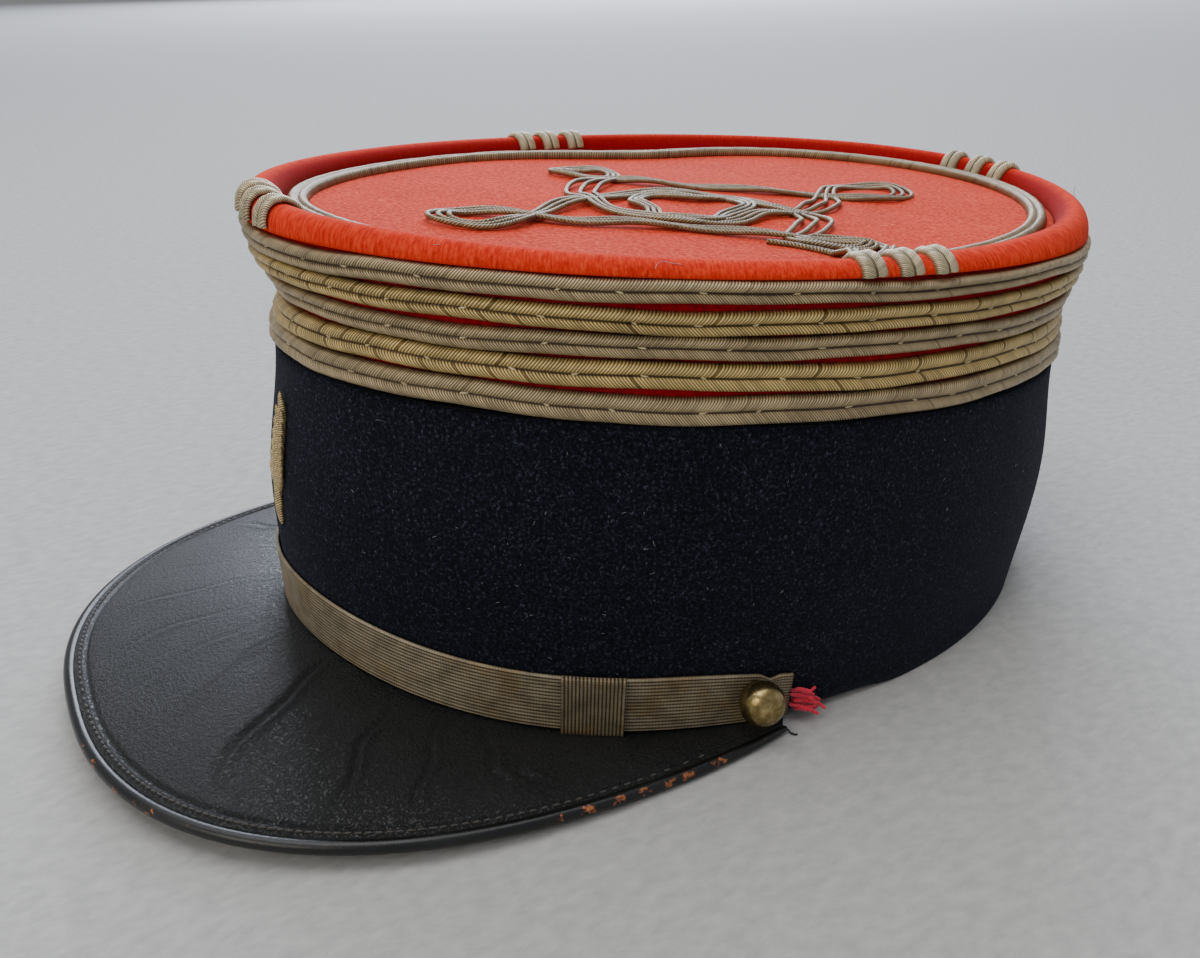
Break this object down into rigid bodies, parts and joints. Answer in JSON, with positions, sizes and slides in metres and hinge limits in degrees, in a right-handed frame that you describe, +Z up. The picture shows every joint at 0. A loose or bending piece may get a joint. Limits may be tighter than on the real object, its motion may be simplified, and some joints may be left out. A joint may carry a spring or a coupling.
{
  "type": "kepi cap",
  "caption": "Stiff cloth kepi with a straight dark band, a low red crown ringed with metal braid, a padded rim, a recessed top with an interlaced knot, a lace strap and a leather peak.",
  "frame": {"origin": "on the surface the cap stands on, under the middle of its box", "axes": "+Z up, -Y the way the peak points, +X the wearer's left"},
  "size_m": [0.1684, 0.2642, 0.1104],
  "materials": {
    "band_cloth": "milled blue-black wool cloth",
    "crown_cloth": "milled madder-red wool cloth with a short nap",
    "peak_leather": "blacked and polished cowhide, cracked with age",
    "silver_braid": "tarnished silver-wire soutache braid",
    "gold_braid": "tarnished gilt-wire soutache braid",
    "strap_lace": "ribbed metal-thread lace, tarnished",
    "button_brass": "aged stamped brass, unplated"
  },
  "bodies": {
    "root": {"band": "band_cloth", "crown_wall": "crown_cloth", "top_plate": "crown_cloth", "rim_roll": "crown_cloth", "crown_braid_5": "silver_braid", "crown_braid_4": "gold_braid", "crown_braid_3": "silver_braid", "crown_braid_2": "gold_braid", "crown_braid_1": "silver_braid", "top_border_braid": "silver_braid", "rim_tie_front_1": "silver_braid", "rim_tie_front_2": "silver_braid", "rim_tie_front_3": "silver_braid", "rim_tie_left_1": "silver_braid", "rim_tie_left_2": "silver_braid", "rim_tie_left_3": "silver_braid", "rim_tie_back_1": "silver_braid", "rim_tie_back_2": "silver_braid", "rim_tie_back_3": "silver_braid", "rim_tie_right_1": "silver_braid", "rim_tie_right_2": "silver_braid", "rim_tie_right_3": "silver_braid", "peak": "peak_leather", "peak_binding": "peak_leather", "chin_strap": "strap_lace", "strap_slide_left": "strap_lace", "strap_slide_right": "strap_lace", "strap_button_left": "button_brass", "strap_button_right": "button_brass", "front_sprig": "gold_braid", "top_knot": "silver_braid"}
  },
  "joints": []
}
